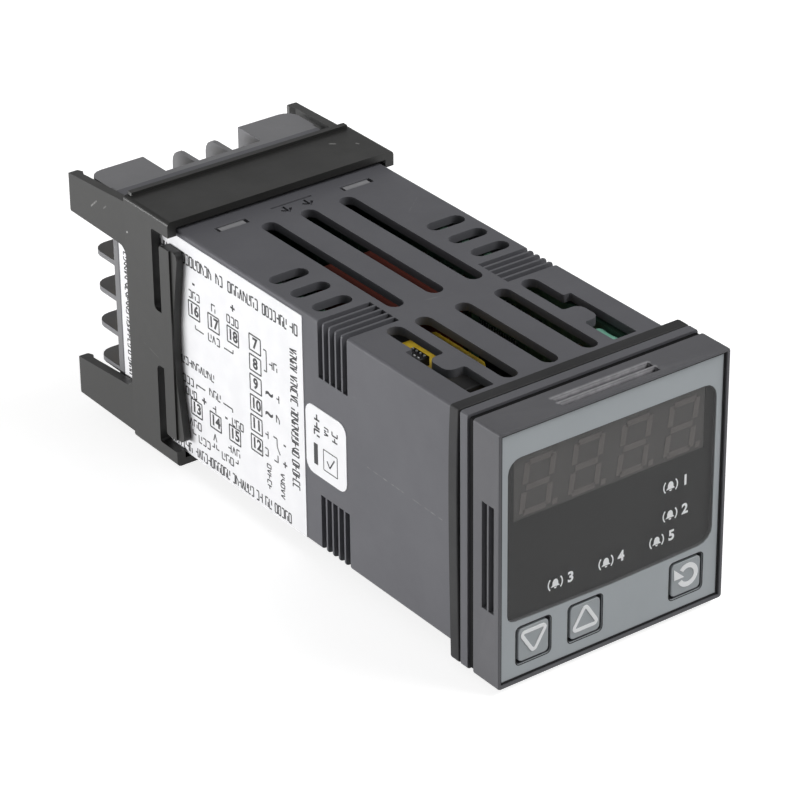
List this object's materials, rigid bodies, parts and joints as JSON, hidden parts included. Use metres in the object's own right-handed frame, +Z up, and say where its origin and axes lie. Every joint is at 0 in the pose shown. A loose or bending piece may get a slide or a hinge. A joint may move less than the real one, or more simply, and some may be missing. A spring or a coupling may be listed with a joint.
{
  "type": "digital panel meter",
  "caption": "Square-fronted digital panel meter: plug-in instrument with display and keys in a vented sleeve, with rear screw terminals and a sliding mounting clamp.",
  "frame": {"origin": "centre of the panel cut-out, in the plane of the panel's front face where the gasket seats", "axes": "+Y back into the panel along the case, +X to the right seen from the front, +Z up"},
  "size_m": [0.0504, 0.1259, 0.0504],
  "materials": {
    "sleeve_plastic": "moulded, fine matt texture",
    "block_plastic": "moulded, matt",
    "clamp_plastic": "moulded, satin",
    "bezel_plastic": "moulded, matt",
    "film": "printed film, fine grain",
    "key_plastic": "film-covered, fine grain",
    "window_tint": "dark tinted lens",
    "black_rubber": "moulded rubber",
    "label_paper": "white film label",
    "brass_contact": "plated brass",
    "plated_steel": "zinc plated",
    "board_green": "solder-masked glass-fibre board",
    "display_body": "black display body",
    "segment_tint": "unlit segments",
    "lamp_body": "diffused lamp",
    "black_plastic": "black moulding",
    "ferrite": "dark ferrite",
    "winding_tape": "yellow tape over copper",
    "yellow_case": "yellow moulded case",
    "can_sleeve": "dark sleeve on a can",
    "mint_coat": "pale green coat",
    "relay_case": "red-brown moulded case"
  },
  "bodies": {
    "case": {"case_sleeve": "sleeve_plastic", "rear_terminal_block": "block_plastic", "terminal_contacts": "brass_contact", "wire_clamps": "plated_steel", "terminal_screws": "plated_steel", "panel_gasket": "black_rubber", "wiring_label": "label_paper", "inspection_label": "label_paper"},
    "clamp": {"mounting_clamp": "clamp_plastic"},
    "instrument": {"bezel": "bezel_plastic", "bezel_seal": "black_rubber", "front_overlay": "film", "display_window": "window_tint", "display_board": "board_green", "display_module": "display_body", "digit_segments": "segment_tint", "alarm_lamps": "lamp_body", "key_switches": "black_plastic", "power_board": "board_green", "processor_board": "board_green", "output_board": "board_green", "board_headers": "black_plastic", "transformer_core": "ferrite", "transformer_winding": "winding_tape", "suppression_capacitor": "yellow_case", "smoothing_capacitors": "can_sleeve", "ceramic_capacitor": "mint_coat", "processor_chip": "black_plastic", "output_relays": "relay_case"},
    "down_key": {"down_key": "key_plastic"},
    "up_key": {"up_key": "key_plastic"},
    "scroll_key": {"scroll_key": "key_plastic"}
  },
  "joints": [
    {"name": "clamp_slide", "type": "slide", "parent": "case", "child": "clamp", "axis": [0, -1, 0], "range_m": [-0.034, 0.076]},
    {"name": "instrument_slide", "type": "slide", "parent": "case", "child": "instrument", "axis": [0, -1, 0], "range_m": [0, 0.104]},
    {"name": "down_key_press", "type": "slide", "parent": "instrument", "child": "down_key", "axis": [0, 1, 0], "range_m": [0, 0.0005], "stiffness_N_per_m": 1500},
    {"name": "up_key_press", "type": "slide", "parent": "instrument", "child": "up_key", "axis": [0, 1, 0], "range_m": [0, 0.0005], "stiffness_N_per_m": 1500},
    {"name": "scroll_key_press", "type": "slide", "parent": "instrument", "child": "scroll_key", "axis": [0, 1, 0], "range_m": [0, 0.0005], "stiffness_N_per_m": 1500}
  ]
}
